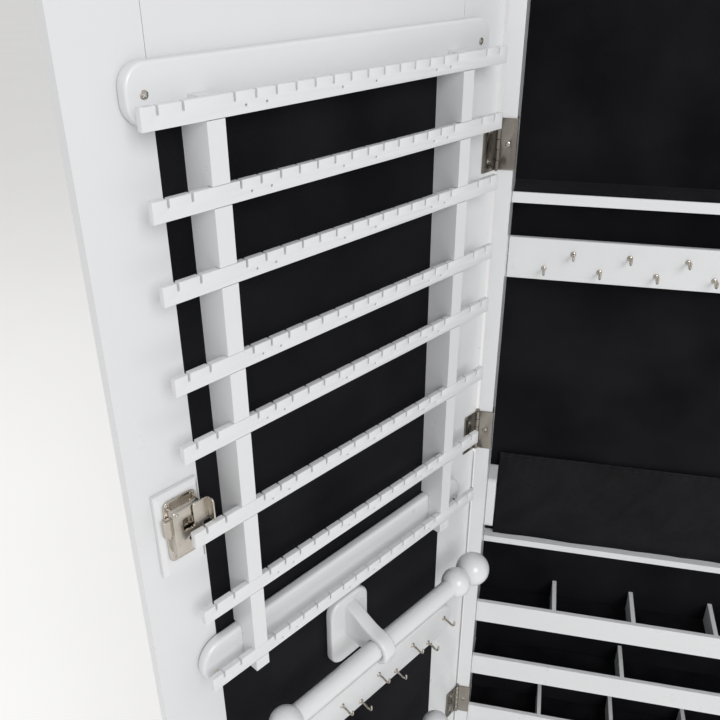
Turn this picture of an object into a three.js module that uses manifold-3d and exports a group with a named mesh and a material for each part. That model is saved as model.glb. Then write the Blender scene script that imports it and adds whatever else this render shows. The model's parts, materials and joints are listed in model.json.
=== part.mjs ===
// A jewelry armoire: a shallow cabinet that tilts between two posts of a free-standing frame, with a
// mirrored door on four small hinges. The door stands open and carries an earring rack, two bangle
// rods, a row of hooks and the lock. Millimetres, +Z up; x = 0 at mid width, y = 0 on the tilt axis,
// z = 0 on the floor, front towards -Y. The last lines move the origin under the middle of the whole.
import * as THREE from "three";
import { mergeVertices } from "three/addons/utils/BufferGeometryUtils.js";
import Module from "manifold-3d";

const wasm = await Module();
wasm.setup();

// Cabinet. "Below" is measured down from the cabinet's top, "depth" back from its front edges.
const CABINET_WIDTH = 332;
const CABINET_HEIGHT = 1200;
const FLOOR_CLEARANCE = 300;
const WALL = 12;
const INNER_DEPTH = 62;
const VELVET = 4;
const BACK_BOARD = 6;
const SEAT = 0.3;

// The shelf and the hook board stand back from the slats on the door by a clearance.
const SHELF = { below: 220.3, thick: 8.6, clear: 4.2 };
const HOOK_BOARD = { below: 263, height: 36, clear: 7.7, thick: 5, margin: 30.5, rows: [10.5, 24.5] };
const POUCH = { below: 489, wall: 1.3, thick: 7.2, floor: 5 };
const POUCH_RAIL = { below: 587, height: 7, thick: 11.7 };
const TRAY = { count: 5, below: 671, pitch: 77.5, lip: 26.5, board: 4, depth: 15, walls: [3, 1], bays: 4 };

// Tilt pivot and stand. The pivot is a distance in front of the lining's face.
const PIVOT = { below: 530, ahead: 17, bolt: 4, clearance: 0.5, end: 1 };
const BLOCK = { height: 56, thick: 8, length: 33, back: 2, corner: 6 };
const POST = { gap: 4, thick: 22, width: 30, above: 45 };
const FOOT = { thick: 30, length: 360, height: 70, toe: 22, pad: 50, arch: 24, crown: 90 };
const STRETCHER = { base: 140, height: 60, thick: 22 };
const KNOB = { radius: 20, length: 19, edge: 3 };

// Door, in its own frame: u across from the hinge edge, depth in from its inner face.
const DOOR_EDGE = 0.5;
const DOOR_GAP = 2.4;
const DOOR_OPEN = THREE.MathUtils.degToRad(121.4);
const FRAME = { width: 45.5, thick: 17, edge: 7, chamfer: 6, lip: 6, rabbet: 8.6, slope: 4, mitre: 0.2 };
const MIRROR = 4;
const PIN_OUTSIDE = 0.6;
const HINGE = { height: 38, knuckle: 2.2, pin: 0.9, bore: 0.3, relief: 0.4, barrels: 5, leaf: 0.8,
  offset: 0.2, doorLeaf: 16, flange: 11, split: 0.3, fromEnd: [177.5, 427.2] };

// Earring rack. An inset is from the cabinet's inner wall, which the rack passes when the door shuts.
const RACK = { inset: 16, board: 8 };
const RAILS = { top: { below: 88, height: 30, corner: 12 }, bottom: { below: 455, height: 36, corner: 17.7 } };
const SLAT = { inset: 14, height: 10.8, thick: 4, front: 21.8, notch: 1.5, notchDepth: 4.6 };
const SLAT_BELOW = [115.9, 158.9, 201.7, 253.6, 296.9, 356.9, 418.3, 478.3];
const UPRIGHT = { width: 11, inset: 54.6, below: 488 };
const NOTCHES = { pitch: 13.4, margin: 6, pastUpright: [17.6, 31.6] };

// Bangle rods, their brackets and the row of hooks.
const ROD = { radius: 7.75, ahead: 22, below: 533, underTray: 28 };
const BALLS = [[{ inset: 57, radius: 12.8 }, { inset: 34, radius: 14.6 }], [{ inset: 75, radius: 12.8 }]];
const BRACKET = { width: 41, height: 66, board: 8, corner: 12, above: 32, arm: 12, ring: 13, bore: 0.3 };
const DOOR_HOOKS = { below: 603.5, height: 36.5, board: 8, margin: 12.6, rows: [21, 6.5] };
const HOOKS = { count: 12, wire: 0.9, reach: 12.5, drop: 1.5, rise: 4.5, sides: 6, steps: 7 };

// Lock on the free stile. "Inset" is in from the door's free edge, "down" is from the block's top.
const LOCK = { inset: 27.75, width: 30.5, height: 60, below: 323, board: 5, bevel: 2.5 };
const PLATE = { width: 23, height: 44, down: 4, thick: 1.2, corner: 4 };
const CASE = { width: 20, height: 32.5, down: 8, thick: 7, corner: 2 };
const BOLT = { down: 20, height: 12, thick: 3.4, length: 22, short: 1.5, travel: 6, play: 0.3, strike: 0.9 };
const STEM = { width: 3.5, height: 8, at: -4.5 };
const TAB = { width: 11.5, height: 16, rise: 5.8, thick: 1.6, lift: 5.3 };
const CYLINDER = { down: 31, radius: 6, flange: 8.5, flangeThick: 2, edge: 1, clearance: 0.4,
  slot: [1.6, 8, 3] };

// How far a cutter runs past a face, and how many flats the round parts have.
const PAST = 1;
const FLATS = { hole: 20, knob: 24, relief: 16, barrel: 12, pin: 8, rod: 16, cylinder: 20 };

// Worked out from the sizes above.
const TOP = FLOOR_CLEARANCE + CABINET_HEIGHT;
const HALF = CABINET_WIDTH / 2;
const INNER_HALF = HALF - WALL;
const FIT_HALF = INNER_HALF - SEAT;
const LINING_FACE = PIVOT.ahead;
const FRONT = LINING_FACE - INNER_DEPTH;
const BACK_FACE = LINING_FACE + VELVET;
const REAR = BACK_FACE + BACK_BOARD;
const PIVOT_Z = TOP - PIVOT.below;
const HINGE_BELOW = [...HINGE.fromEnd, ...HINGE.fromEnd.map((below) => CABINET_HEIGHT - below).reverse()];
const DOOR_WIDTH = CABINET_WIDTH - 2 * DOOR_EDGE;
const DOOR_MIDDLE = DOOR_WIDTH / 2;
const PIN_TO_DOOR = PIN_OUTSIDE + DOOR_EDGE;
const RACK_ENDS = [DOOR_MIDDLE - INNER_HALF + RACK.inset, DOOR_MIDDLE + INNER_HALF - RACK.inset];
const UPRIGHT_OFFSET = INNER_HALF - UPRIGHT.inset;
const ROD_DEPTH = INNER_DEPTH - ROD.ahead;
const LOCK_U = DOOR_WIDTH - LOCK.inset;
const LOCK_TOP = TOP - LOCK.below;
const BOLT_Z = LOCK_TOP - BOLT.down;
const CASE_BACK = SEAT + LOCK.board + SEAT + PLATE.thick;
const BOLT_BACK = CASE_BACK + 2 * BOLT.play;
const BOLT_FRONT = BOLT_BACK + BOLT.thick;
const POST_X = HALF + POST.gap;
const SIDES = [["left", -1], ["right", 1]];

// Solids ------------------------------------------------------------------------------------------

function mergedMesh(geometry) {
  const bare = geometry.clone();
  bare.deleteAttribute("normal");
  bare.deleteAttribute("uv");
  const merged = mergeVertices(bare);
  const corners = merged.index.array;
  const kept = [];
  for (let i = 0; i < corners.length; i += 3) {
    const [a, b, c] = [corners[i], corners[i + 1], corners[i + 2]];
    if (a !== b && b !== c && c !== a) {
      kept.push(a, b, c);
    }
  }
  merged.setIndex(kept);
  return merged;
}

function toSolid(geometry) {
  const merged = mergedMesh(geometry);
  const vertProperties = Float32Array.from(merged.attributes.position.array);
  const triVerts = Uint32Array.from(merged.index.array);
  return new wasm.Manifold(new wasm.Mesh({ numProp: 3, vertProperties, triVerts }));
}

function toGeometry(solid) {
  const mesh = solid.getMesh();
  const geometry = new THREE.BufferGeometry();
  geometry.setAttribute("position", new THREE.BufferAttribute(mesh.vertProperties, 3));
  geometry.setIndex(new THREE.BufferAttribute(mesh.triVerts, 1));
  geometry.computeVertexNormals();
  return geometry;
}

function join(first, ...others) {
  return toGeometry(others.reduce((solid, other) => solid.add(toSolid(other)), toSolid(first)));
}

function cut(body, ...tools) {
  return toGeometry(tools.reduce((solid, tool) => solid.subtract(toSolid(tool)), toSolid(body)));
}

// A block between two x, two y and two z values.
function block([x0, x1], [y0, y1], [z0, z1]) {
  const geometry = new THREE.BoxGeometry(Math.abs(x1 - x0), Math.abs(y1 - y0), Math.abs(z1 - z0));
  return geometry.translate((x0 + x1) / 2, (y0 + y1) / 2, (z0 + z1) / 2);
}

// An outline in the x-z plane, as thick as asked, from y0 backwards.
function plate(outline, y0, thick, curveSegments = 5) {
  const geometry = new THREE.ExtrudeGeometry(outline, { depth: thick, bevelEnabled: false, curveSegments });
  return geometry.rotateX(Math.PI / 2).translate(0, y0 + thick, 0);
}

// An outline in the y-z plane, extruded between two x values.
function sidePlate(outline, [x0, x1], curveSegments = 8) {
  const depth = Math.abs(x1 - x0);
  const geometry = new THREE.ExtrudeGeometry(outline, { depth, bevelEnabled: false, curveSegments });
  const axes = [new THREE.Vector3(0, 1, 0), new THREE.Vector3(0, 0, 1), new THREE.Vector3(1, 0, 0)];
  return geometry.applyMatrix4(new THREE.Matrix4().makeBasis(...axes)).translate(Math.min(x0, x1), 0, 0);
}

// A rectangle with round corners between two x and two z values.
function roundedOutline([x0, x1], [z0, z1], radius) {
  const shape = new THREE.Shape();
  shape.moveTo(x0 + radius, z0);
  shape.lineTo(x1 - radius, z0);
  shape.absarc(x1 - radius, z0 + radius, radius, -Math.PI / 2, 0);
  shape.lineTo(x1, z1 - radius);
  shape.absarc(x1 - radius, z1 - radius, radius, 0, Math.PI / 2);
  shape.lineTo(x0 + radius, z1);
  shape.absarc(x0 + radius, z1 - radius, radius, Math.PI / 2, Math.PI);
  shape.lineTo(x0, z0 + radius);
  shape.absarc(x0 + radius, z0 + radius, radius, Math.PI, Math.PI * 1.5);
  return shape;
}

function polygon(points) {
  return new THREE.Shape(points.map(([x, y]) => new THREE.Vector2(x, y)));
}

// A solid of revolution about the x axis; each profile point is [radius, x], with x increasing.
function turned(profile, segments) {
  const points = profile.map(([radius, x]) => new THREE.Vector2(radius, x));
  return new THREE.LatheGeometry(points, segments).rotateZ(-Math.PI / 2);
}

// A plain round bar between two z values.
function bar(x, y, [z0, z1], radius, segments) {
  const geometry = new THREE.CylinderGeometry(radius, radius, z1 - z0, segments);
  return geometry.rotateX(Math.PI / 2).translate(x, y, (z0 + z1) / 2);
}

// A round bar along y or x through a point, for holes.
function drill(axis, [x, y, z], radius, length) {
  const geometry = new THREE.CylinderGeometry(radius, radius, length, FLATS.hole);
  if (axis === "x") {
    geometry.rotateZ(Math.PI / 2);
  }
  return geometry.translate(x, y, z);
}

// Materials and the scene graph ---------------------------------------------------------------------

function surface(color, roughness, metalness = 0) {
  return new THREE.MeshStandardMaterial({ color, roughness, metalness });
}

const white = surface(0xe6e6e8, 0.35);
const velvet = surface(0x101012, 0.95);
const cloth = surface(0x18181a, 0.9);
const nickel = surface(0xb8b0a6, 0.25, 1);
const mirrorGlass = surface(0xdfe6ea, 0.03, 1);

function place(parent, name, geometry, material) {
  const mesh = new THREE.Mesh(geometry, material);
  mesh.name = name;
  parent.add(mesh);
}

const armoire = new THREE.Group();
const cabinet = new THREE.Group();
const doorSwing = new THREE.Group();
const door = new THREE.Group();
armoire.add(cabinet);
cabinet.add(doorSwing);
doorSwing.add(door);
doorSwing.position.set(-HALF - PIN_OUTSIDE, FRONT - DOOR_GAP / 2, 0);
doorSwing.rotation.z = -DOOR_OPEN;
door.position.set(PIN_TO_DOOR, -DOOR_GAP / 2, 0);

// Hooks ---------------------------------------------------------------------------------------------

// One wire hook whose root is at the origin; it reaches along y and turns up at its tip.
function hook(direction) {
  const { wire, reach, drop, rise, sides, steps } = HOOKS;
  const path = new THREE.CatmullRomCurve3([
    new THREE.Vector3(0, -direction, 0),
    new THREE.Vector3(0, direction * reach * 0.5, -drop * 0.5),
    new THREE.Vector3(0, direction * (reach - 1.5), -drop),
    new THREE.Vector3(0, direction * reach, 0),
    new THREE.Vector3(0, direction * reach, rise - drop),
  ]);
  const ring = [...Array(sides).keys()].map((i) => {
    const angle = (i * 2 * Math.PI) / sides;
    return [wire * Math.cos(angle), wire * Math.sin(angle)];
  });
  return new THREE.ExtrudeGeometry(polygon(ring), { extrudePath: path, steps });
}

// A row of hooks between two x values, their heights taking turns between the two rows.
function hookRow([x0, x1], y, base, { margin, rows }, direction) {
  const pitch = (x1 - x0 - 2 * margin) / (HOOKS.count - 1);
  return [...Array(HOOKS.count).keys()].map((i) => {
    return hook(direction).translate(x0 + margin + i * pitch, y, base + rows[i % 2]);
  });
}

// Stand ---------------------------------------------------------------------------------------------

function footOutline() {
  const half = FOOT.length / 2;
  const inner = half - FOOT.pad;
  const shape = new THREE.Shape();
  shape.moveTo(-half, 0);
  shape.lineTo(-inner, 0);
  shape.quadraticCurveTo(0, FOOT.arch * 2, inner, 0);
  shape.lineTo(half, 0);
  shape.lineTo(half, FOOT.toe);
  shape.quadraticCurveTo(FOOT.crown, FOOT.height, FOOT.crown / 2, FOOT.height);
  shape.lineTo(-FOOT.crown / 2, FOOT.height);
  shape.quadraticCurveTo(-FOOT.crown, FOOT.height, -half, FOOT.toe);
  return shape;
}

function postOutline() {
  const half = POST.width / 2;
  const shape = new THREE.Shape();
  shape.moveTo(-half, FOOT.height + SEAT);
  shape.lineTo(half, FOOT.height + SEAT);
  shape.lineTo(half, PIVOT_Z + POST.above - half);
  shape.absarc(0, PIVOT_Z + POST.above - half, half, 0, Math.PI);
  return shape;
}

function addStand() {
  const hole = PIVOT.bolt + PIVOT.clearance;
  for (const [name, side] of SIDES) {
    const middle = side * (POST_X + POST.thick / 2);
    const foot = [middle - FOOT.thick / 2, middle + FOOT.thick / 2];
    place(armoire, `${name}_foot`, sidePlate(footOutline(), foot), white);
    const post = sidePlate(postOutline(), [side * POST_X, side * (POST_X + POST.thick)]);
    const bore = drill("x", [middle, 0, PIVOT_Z], hole, POST.thick * 2);
    place(armoire, `${name}_post`, cut(post, bore), white);
  }
  const reach = POST_X - SEAT;
  const across = STRETCHER.thick / 2;
  const bottom = STRETCHER.base;
  const beam = block([-reach, reach], [-across, across], [bottom, bottom + STRETCHER.height]);
  place(armoire, "stretcher", beam, white);
}

// A clamping knob and the bolt that runs from it through the post into the pivot block.
function knobProfile() {
  const { radius, length, edge } = KNOB;
  const start = INNER_HALF - BLOCK.thick + PIVOT.end;
  const seat = POST_X + POST.thick + SEAT;
  return [[0, start], [PIVOT.bolt, start], [PIVOT.bolt, seat], [radius - edge, seat], [radius, seat + edge],
    [radius, seat + length - 2 * edge], [radius - 2 * edge, seat + length], [0, seat + length]];
}

function addKnobs() {
  for (const [name, side] of SIDES) {
    const knob = turned(knobProfile(), FLATS.knob).rotateZ(side < 0 ? Math.PI : 0);
    place(armoire, `${name}_knob`, knob.translate(0, 0, PIVOT_Z), nickel);
  }
}

// Cabinet -------------------------------------------------------------------------------------------

function hingeRelief(x, y) {
  const radius = HINGE.knuckle + HINGE.relief;
  return HINGE_BELOW.map((below) => {
    const half = HINGE.height / 2 + SEAT;
    return bar(x, y, [TOP - below - half, TOP - below + half], radius, FLATS.relief);
  });
}

// The slot in the wall that the bolt enters when the door is shut and locked.
function strikeSlot() {
  const behindDoor = FRONT - DOOR_GAP;
  const depth = [behindDoor + BOLT_BACK - BOLT.strike, behindDoor + BOLT_FRONT + BOLT.strike];
  const half = BOLT.height / 2 + BOLT.strike;
  const reach = INNER_HALF + BOLT.travel + PAST;
  return block([INNER_HALF - PAST, reach], depth, [BOLT_Z - half, BOLT_Z + half]);
}

function addCarcass() {
  const hole = PIVOT.bolt + PIVOT.clearance;
  for (const [name, side] of SIDES) {
    const board = block([side * INNER_HALF, side * HALF], [FRONT, REAR], [FLOOR_CLEARANCE, TOP]);
    const bore = drill("x", [side * HALF, 0, PIVOT_Z], hole, WALL * 4);
    const cuts = side < 0 ? hingeRelief(-HALF - PIN_OUTSIDE, FRONT - DOOR_GAP / 2) : [strikeSlot()];
    place(cabinet, `${name}_side`, cut(board, bore, ...cuts), white);
  }
  const across = [-FIT_HALF, FIT_HALF];
  const depth = [FRONT, BACK_FACE - SEAT];
  const inner = [FLOOR_CLEARANCE + WALL + SEAT, TOP - WALL - SEAT];
  place(cabinet, "top_board", block(across, depth, [TOP - WALL, TOP]), white);
  place(cabinet, "bottom_board", block(across, depth, [FLOOR_CLEARANCE, FLOOR_CLEARANCE + WALL]), white);
  place(cabinet, "back_board", block(across, [BACK_FACE, REAR], [FLOOR_CLEARANCE, TOP]), white);
  place(cabinet, "back_velvet", block(across, [LINING_FACE, BACK_FACE - SEAT], inner), velvet);
}

function addPivotBlocks() {
  const back = LINING_FACE - BLOCK.back;
  const height = [PIVOT_Z - BLOCK.height / 2, PIVOT_Z + BLOCK.height / 2];
  const outline = roundedOutline([back - BLOCK.length, back], height, BLOCK.corner);
  for (const [name, side] of SIDES) {
    const board = sidePlate(outline, [side * (FIT_HALF - BLOCK.thick), side * FIT_HALF], 4);
    const bore = drill("x", [side * FIT_HALF, 0, PIVOT_Z], PIVOT.bolt + PIVOT.clearance, BLOCK.thick * 3);
    place(cabinet, `${name}_pivot_block`, cut(board, bore), white);
  }
}

function addUpperFittings() {
  const across = [-FIT_HALF, FIT_HALF];
  const back = LINING_FACE - SEAT;
  const shelfTop = TOP - SHELF.below;
  const shelfFront = FRONT + SLAT.front + SHELF.clear;
  const shelf = block(across, [shelfFront, back], [shelfTop - SHELF.thick, shelfTop]);
  place(cabinet, "upper_shelf", shelf, white);

  const base = TOP - HOOK_BOARD.below - HOOK_BOARD.height;
  const face = FRONT + SLAT.front + HOOKS.reach + HOOK_BOARD.clear;
  const board = block(across, [face, face + HOOK_BOARD.thick], [base, base + HOOK_BOARD.height]);
  const hooks = hookRow(across, face, base, HOOK_BOARD, -1);
  place(cabinet, "necklace_hook_board", join(board, ...hooks), white);
}

// The gathered pouch, as a thin trough that is open at the top, and the rail under it.
function addPouch() {
  const back = LINING_FACE - SEAT;
  const railTop = TOP - POUCH_RAIL.below;
  const half = FIT_HALF - BLOCK.thick - SEAT;
  const front = back - POUCH.thick;
  const hem = TOP - POUCH.below;
  const shell = block([-half, half], [front, back], [railTop + SEAT, hem]);
  const inside = [front + POUCH.wall, back - POUCH.wall];
  const hollow = block([POUCH.wall - half, half - POUCH.wall], inside, [railTop + POUCH.floor, hem + PAST]);
  place(cabinet, "necklace_pouch", cut(shell, hollow), cloth);
  const railHeight = [railTop - POUCH_RAIL.height, railTop];
  const rail = block([-FIT_HALF, FIT_HALF], [back - POUCH_RAIL.thick, back], railHeight);
  place(cabinet, "pouch_rail", rail, white);
}

// A tray: a board with a lip along its front and upright dividers from the lip to the back.
function tray(bottom, dividers) {
  const { board, lip, depth } = TRAY;
  const step = (2 * INNER_HALF) / TRAY.bays;
  const across = [-FIT_HALF, FIT_HALF];
  const back = LINING_FACE - SEAT;
  const front = FRONT + depth;
  const pieces = [block(across, [front, back], [bottom, bottom + board])];
  pieces.push(block(across, [front, front + board], [bottom, bottom + lip]));
  for (let i = 0; i < dividers; i += 1) {
    const x = (i - (dividers - 1) / 2) * step;
    pieces.push(block([x - board / 2, x + board / 2], [front, back], [bottom, bottom + lip]));
  }
  return join(...pieces);
}

function addTrays() {
  for (let i = 0; i < TRAY.count; i += 1) {
    const bottom = TOP - TRAY.below - i * TRAY.pitch;
    place(cabinet, `tray_${i + 1}`, tray(bottom, TRAY.walls[i % 2]), white);
  }
}

// Hinges --------------------------------------------------------------------------------------------

// The height range of one of a hinge's barrels, counted from the bottom.
function barrelRange(middle, index) {
  const step = HINGE.height / HINGE.barrels;
  const start = middle - HINGE.height / 2 + index * step;
  return [start + HINGE.split / 2, start + step - HINGE.split / 2];
}

// Leaves are drawn about their pin: x across the leaf, y towards the cabinet.
function hingeLeaf(middle, plates, ownParity, withPin) {
  const { barrels, knuckle, pin, bore, split, height } = HINGE;
  const indices = [...Array(barrels).keys()];
  const own = indices.filter((i) => i % 2 === ownParity);
  const others = indices.filter((i) => i % 2 !== ownParity);
  const spans = own.map((i) => bar(0, 0, barrelRange(middle, i), knuckle, FLATS.barrel));
  const reliefs = others.map((i) => {
    const [low, high] = barrelRange(middle, i);
    return bar(0, 0, [low - split, high + split], knuckle + split, FLATS.barrel);
  });
  const ends = [middle - height / 2 + split, middle + height / 2 - split];
  const leaf = join(cut(plates, ...reliefs), ...spans);
  if (withPin) {
    return join(leaf, bar(0, 0, ends, pin, FLATS.pin));
  }
  return cut(leaf, bar(0, 0, [ends[0] - PAST, ends[1] + PAST], pin + bore, FLATS.pin));
}

function addHinges() {
  const { leaf, offset, doorLeaf, flange, height } = HINGE;
  const reach = PIN_OUTSIDE + WALL + offset;
  HINGE_BELOW.forEach((below, index) => {
    const middle = TOP - below;
    const tall = [middle - height / 2, middle + height / 2];
    const frontPlate = block([0, reach + leaf], [offset, offset + leaf], tall);
    const wrapped = join(frontPlate, block([reach, reach + leaf], [offset, offset + flange], tall));
    const cabinetLeaf = hingeLeaf(middle, wrapped, 1, false);
    cabinetLeaf.translate(doorSwing.position.x, doorSwing.position.y, 0);
    place(cabinet, `cabinet_hinge_leaf_${index + 1}`, cabinetLeaf, nickel);
    const plain = block([0, PIN_TO_DOOR + doorLeaf], [-offset - leaf, -offset], tall);
    place(doorSwing, `door_hinge_leaf_${index + 1}`, hingeLeaf(middle, plain, 0, true), nickel);
  });
}

// Door ----------------------------------------------------------------------------------------------

// One side of the frame, standing along z from 0: its outer edge at x = 0, both ends mitred.
function frameMember(length) {
  const { width, thick, edge, chamfer, lip, rabbet, slope, mitre } = FRAME;
  const inner = width + lip;
  const section = polygon([[0, 0], [0, -edge], [chamfer, -thick], [inner - slope, -thick],
    [inner, -rabbet], [width, -rabbet], [width, 0]]);
  const member = new THREE.ExtrudeGeometry(section, { depth: length, bevelEnabled: false });
  const wide = inner + PAST;
  const wedge = polygon([[-PAST, mitre - PAST], [wide, mitre + wide],
    [wide, length - wide - mitre], [-PAST, length + PAST - mitre]]);
  return toGeometry(toSolid(member).intersect(toSolid(plate(wedge, -2 * thick, 3 * thick))));
}

// The key cylinder's hole, through the stile and the block on it.
function lockHole() {
  const { down, radius, clearance } = CYLINDER;
  return drill("y", [LOCK_U, 0, LOCK_TOP - down], radius + clearance, FRAME.thick * 4);
}

function addDoorFrame() {
  const quarter = Math.PI / 2;
  const hingeStile = frameMember(CABINET_HEIGHT).translate(0, 0, FLOOR_CLEARANCE);
  const relief = hingeRelief(-PIN_TO_DOOR, DOOR_GAP / 2);
  place(door, "hinge_stile", cut(hingeStile, ...relief), white);
  const lockStile = frameMember(CABINET_HEIGHT).rotateY(2 * quarter).translate(DOOR_WIDTH, 0, TOP);
  place(door, "lock_stile", cut(lockStile, lockHole()), white);
  const topRail = frameMember(DOOR_WIDTH).rotateY(quarter).translate(0, 0, TOP);
  place(door, "door_top_rail", topRail, white);
  const bottomRail = frameMember(DOOR_WIDTH).rotateY(-quarter).translate(DOOR_WIDTH, 0, FLOOR_CLEARANCE);
  place(door, "door_bottom_rail", bottomRail, white);

}

// The mirror, and the two boards behind it: velvet below, white above, meeting behind the rack's top rail.
function addDoorPanels() {
  const across = [FRAME.width + SEAT, DOOR_WIDTH - FRAME.width - SEAT];
  const low = FLOOR_CLEARANCE + FRAME.width + SEAT;
  const high = TOP - FRAME.width - SEAT;
  const seam = TOP - RAILS.top.below - RAILS.top.height / 2;
  const glassBack = SEAT - FRAME.rabbet + MIRROR;
  const panel = [glassBack + SEAT, 0];
  place(door, "mirror", block(across, [SEAT - FRAME.rabbet, glassBack], [low, high]), mirrorGlass);
  place(door, "velvet_panel", block(across, panel, [low, seam]), velvet);
  place(door, "door_top_panel", block(across, panel, [seam + SEAT, high]), white);
}

// Earring rack --------------------------------------------------------------------------------------

// Where a slat is notched, counted from its middle: as many as fit between the uprights, and two outside.
function notchPlaces() {
  const { pitch, margin, pastUpright } = NOTCHES;
  const room = 2 * (UPRIGHT_OFFSET - UPRIGHT.width / 2 - margin);
  const gaps = Math.floor(room / pitch);
  const middle = [...Array(gaps + 1).keys()].map((i) => (i - gaps / 2) * pitch);
  const outer = pastUpright.flatMap((x) => [-UPRIGHT_OFFSET - x, UPRIGHT_OFFSET + x]);
  return [...middle, ...outer].sort((a, b) => b - a);
}

// A slat's outline, with its bottom edge at z: notches for earring hooks along the top edge.
function slatOutline(z) {
  const { height, notch, notchDepth } = SLAT;
  const half = INNER_HALF - SLAT.inset;
  const points = [[-half, z], [half, z], [half, z + height]];
  for (const x of notchPlaces()) {
    points.push([x + notch / 2, z + height], [x + notch / 2, z + height - notchDepth]);
    points.push([x - notch / 2, z + height - notchDepth], [x - notch / 2, z + height]);
  }
  points.push([-half, z + height]);
  return polygon(points);
}

function railRange({ below, height }) {
  return [TOP - below - height, TOP - below];
}

function addRack() {
  for (const [name, rail] of Object.entries(RAILS)) {
    const outline = roundedOutline(RACK_ENDS, railRange(rail), rail.corner);
    place(door, `rack_${name}_rail`, plate(outline, SEAT, RACK.board), white);
  }
  SLAT_BELOW.forEach((below, index) => {
    const slat = plate(slatOutline(TOP - below), SLAT.front - SLAT.thick, SLAT.thick);
    place(door, `rack_slat_${index + 1}`, slat.translate(DOOR_MIDDLE, 0, 0), white);
  });
  for (const [name, side] of [["hinge", -1], ["lock", 1]]) {
    place(door, `rack_upright_${name}_side`, upright(DOOR_MIDDLE + side * UPRIGHT_OFFSET), white);
  }
}

// An upright of the rack, housed over the two rails and under every slat.
function upright(middle) {
  const across = [middle - UPRIGHT.width / 2, middle + UPRIGHT.width / 2];
  const wide = [across[0] - PAST, across[1] + PAST];
  const top = TOP - SLAT_BELOW[0] + SLAT.height;
  const body = block(across, [SEAT, SLAT.front], [TOP - UPRIGHT.below, top]);
  const housings = SLAT_BELOW.map((below) => {
    const low = TOP - below - SEAT;
    const back = SLAT.front - SLAT.thick - SEAT;
    return block(wide, [back, SLAT.front + PAST], [low, low + SLAT.height + 2 * SEAT]);
  });
  const rails = Object.values(RAILS).map((rail) => {
    const [low, high] = railRange(rail);
    return block(wide, [0, RACK.board + 2 * SEAT], [low - SEAT, high + SEAT]);
  });
  return cut(body, ...housings, ...rails);
}

// Bangle rods and door hooks ------------------------------------------------------------------------

// A straight rod through round balls, as a turned profile.
function rodProfile(balls) {
  const arcSteps = 6;
  const placed = balls.map(({ inset, radius }) => ({ at: INNER_HALF - inset, radius }));
  const ordered = [...placed.map(({ at, radius }) => ({ at: -at, radius })).reverse(), ...placed];
  const outermost = ordered.length - 1;
  const profile = [];
  ordered.forEach(({ at, radius }, index) => {
    const neck = Math.asin(ROD.radius / radius);
    const start = index === 0 ? 0 : neck;
    const end = index === outermost ? Math.PI : Math.PI - neck;
    for (let i = 0; i <= arcSteps; i += 1) {
      const angle = start + ((end - start) * i) / arcSteps;
      const atAxis = angle === 0 || angle === Math.PI;
      profile.push([atAxis ? 0 : radius * Math.sin(angle), at - radius * Math.cos(angle)]);
    }
  });
  return profile;
}

// The side outline of a bracket's arm: it springs from the board and curls round the rod.
function armOutline(z) {
  const { ring, board, above } = BRACKET;
  const shape = new THREE.Shape();
  shape.moveTo(board / 2, z + above - ring / 2);
  shape.bezierCurveTo(ROD_DEPTH / 2, z + above - ring / 2, ROD_DEPTH / 2, z + ring, ROD_DEPTH, z + ring);
  shape.absarc(ROD_DEPTH, z, ring, Math.PI / 2, -Math.PI * 0.6, true);
  shape.quadraticCurveTo(ROD_DEPTH / 2, z - ring / 2, board / 2, z - ring / 2);
  return shape;
}

function bracket(z) {
  const { width, height, board, corner, above, arm, bore } = BRACKET;
  const across = [DOOR_MIDDLE - width / 2, DOOR_MIDDLE + width / 2];
  const outline = roundedOutline(across, [z + above - height, z + above], corner);
  const armSolid = sidePlate(armOutline(z), [DOOR_MIDDLE - arm / 2, DOOR_MIDDLE + arm / 2], 6);
  const hole = drill("x", [DOOR_MIDDLE, ROD_DEPTH, z], ROD.radius + bore, width * 2);
  return cut(join(plate(outline, SEAT, board), armSolid), hole);
}

function addRods() {
  [ROD.below, TRAY.below + ROD.underTray].forEach((below, index) => {
    const z = TOP - below;
    const rod = turned(rodProfile(BALLS[index]), FLATS.rod).translate(DOOR_MIDDLE, ROD_DEPTH, z);
    place(door, `bangle_rod_${index + 1}`, rod, white);
    place(door, `rod_bracket_${index + 1}`, bracket(z), white);
  });
}

function addDoorHooks() {
  const { below, height, board } = DOOR_HOOKS;
  const base = TOP - below - height;
  const strip = plate(roundedOutline(RACK_ENDS, [base, base + height], height / 2 - SEAT), SEAT, board);
  const hooks = hookRow(RACK_ENDS, SEAT + board, base, DOOR_HOOKS, 1);
  place(door, "door_hook_board", join(strip, ...hooks), white);
}

// Lock ----------------------------------------------------------------------------------------------

// The white block under the lock: flat at the back, its front edges bevelled all round.
function lockBlock() {
  const { width, height, board, bevel } = LOCK;
  const [x, z] = [width / 2, height / 2];
  const face = polygon([[-x, -z], [x, -z], [x, z], [-x, z]]);
  const settings = { depth: board - bevel, bevelThickness: bevel, bevelSize: bevel, bevelOffset: -bevel,
    bevelSegments: 1 };
  const bevelled = new THREE.ExtrudeGeometry(face, settings).rotateX(-Math.PI / 2);
  bevelled.translate(LOCK_U, SEAT, LOCK_TOP - z);
  const behind = block([LOCK_U - width, LOCK_U + width], [SEAT - 2 * bevel, SEAT],
    [LOCK_TOP - height - PAST, LOCK_TOP + PAST]);
  return cut(bevelled, behind, lockHole());
}

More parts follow.
